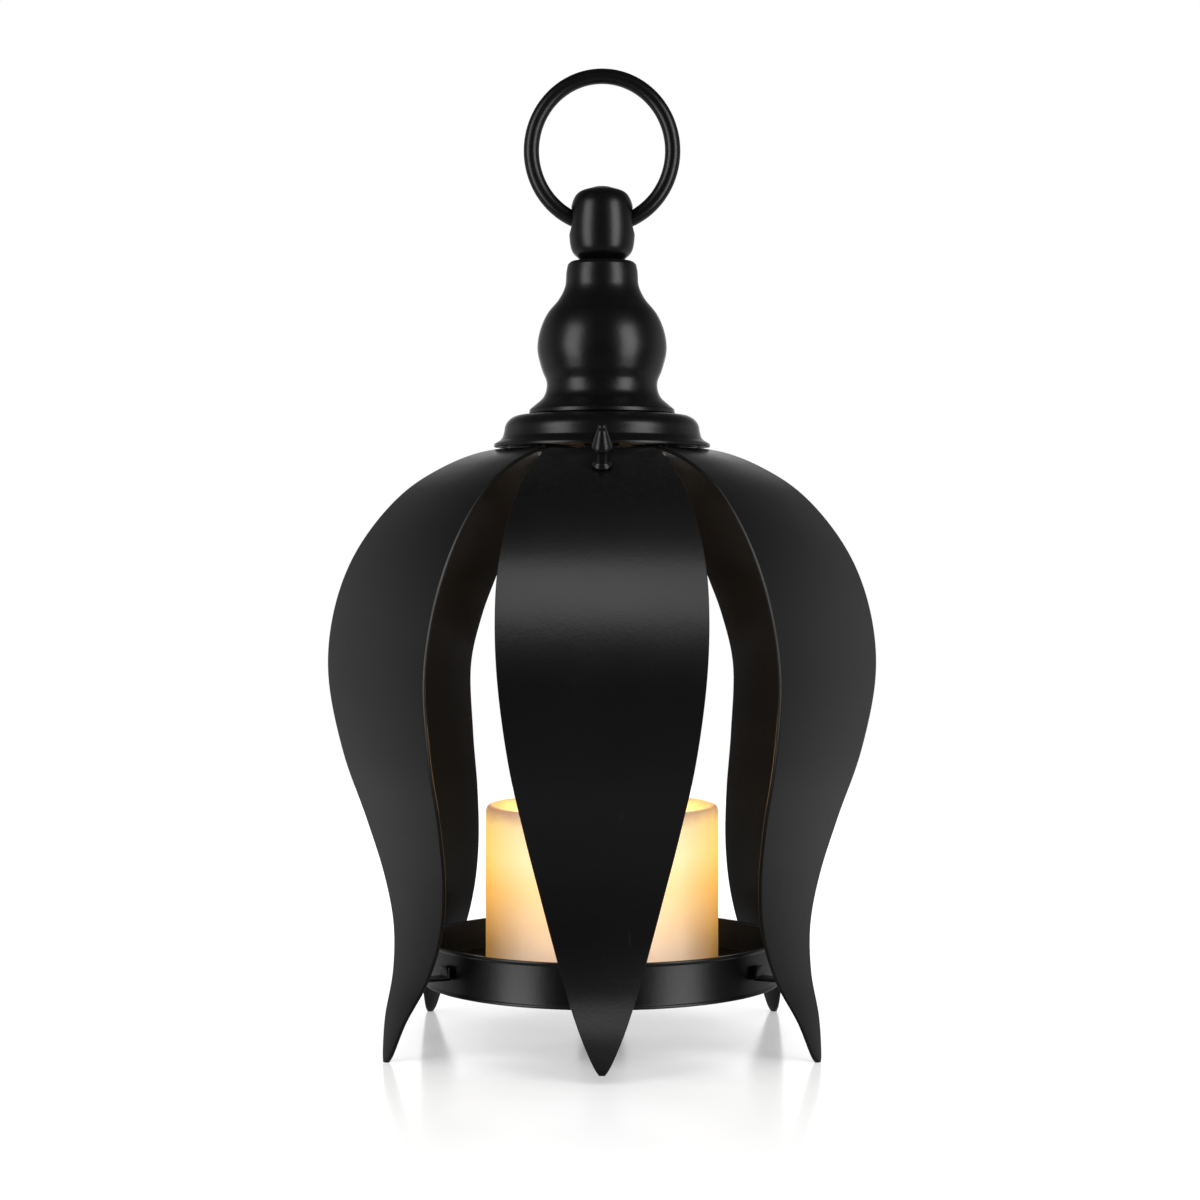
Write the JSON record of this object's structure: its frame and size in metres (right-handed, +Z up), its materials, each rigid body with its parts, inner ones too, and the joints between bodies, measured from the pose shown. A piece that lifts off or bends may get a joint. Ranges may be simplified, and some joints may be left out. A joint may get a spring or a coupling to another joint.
{
  "type": "candle lantern",
  "caption": "Tulip-shaped metal candle lantern: bent leaves around a tray, a hinged front leaf, a turned finial with a hanging ring, and a flameless candle.",
  "frame": {"origin": "centre of the lantern's footprint, on the table", "axes": "+Z up along the lantern's axis, -Y out through the front leaf that opens, +X to the right seen from the front"},
  "size_m": [0.1386, 0.1334, 0.25],
  "materials": {
    "black_paint": "satin black powder coat",
    "plain_steel": "zinc plated, plain",
    "candle_wax": "ivory wax, translucent",
    "white_plastic": "moulded, fine texture",
    "board": "circuit board lacquer",
    "led": "clear amber",
    "dark_plastic": "moulded"
  },
  "bodies": {
    "frame": {"ring_head": "black_paint", "baluster": "black_paint", "cap": "black_paint", "crown_plate": "black_paint", "threaded_rod": "plain_steel", "washer": "plain_steel", "nut": "plain_steel", "tray": "black_paint", "door_catch": "black_paint", "rivet_catch": "plain_steel", "hinge_bracket": "black_paint", "hinge_pin": "plain_steel", "leaf_right_front": "black_paint", "leaf_right_back": "black_paint", "leaf_back": "black_paint", "leaf_left_back": "black_paint", "leaf_left_front": "black_paint", "rivet_right_front": "plain_steel", "rivet_right_back": "plain_steel", "rivet_back": "plain_steel", "rivet_left_back": "plain_steel", "rivet_left_front": "plain_steel", "bracket_right_front": "black_paint", "bracket_right_back": "black_paint", "bracket_back": "black_paint", "bracket_left_back": "black_paint", "bracket_left_front": "black_paint"},
    "ring": {"hanging_ring": "black_paint"},
    "door": {"leaf_front": "black_paint", "door_knuckle": "black_paint", "pull_knob": "black_paint"},
    "candle": {"wax_shell": "candle_wax", "battery_housing": "white_plastic", "circuit_board": "board", "led_bulb": "led", "battery_lower": "plain_steel", "battery_upper": "plain_steel", "battery_contact": "plain_steel", "switch_body": "dark_plastic"},
    "cover": {"battery_cover": "white_plastic"},
    "switch": {"switch_slider": "dark_plastic"}
  },
  "joints": [
    {"name": "ring_swing", "type": "hinge", "parent": "frame", "child": "ring", "pos_m": [0, 0, 0.21059], "axis": [1, 0, 0], "range_deg": [-100, 100]},
    {"name": "door_swing", "type": "hinge", "parent": "frame", "child": "door", "pos_m": [0, -0.05673, 0.009], "axis": [1, 0, 0], "range_deg": [0, 75]},
    {"name": "candle_lift", "type": "slide", "parent": "frame", "child": "candle", "axis": [0, 0, 1], "range_m": [0, 0.03]},
    {"name": "cover_twist", "type": "hinge", "parent": "candle", "child": "cover", "pos_m": [0, 0, 0.0189], "axis": [0, 0, 1], "range_deg": [0, 20]},
    {"name": "switch_slide", "type": "slide", "parent": "candle", "child": "switch", "axis": [0, 1, 0], "range_m": [0, 0.004]}
  ]
}
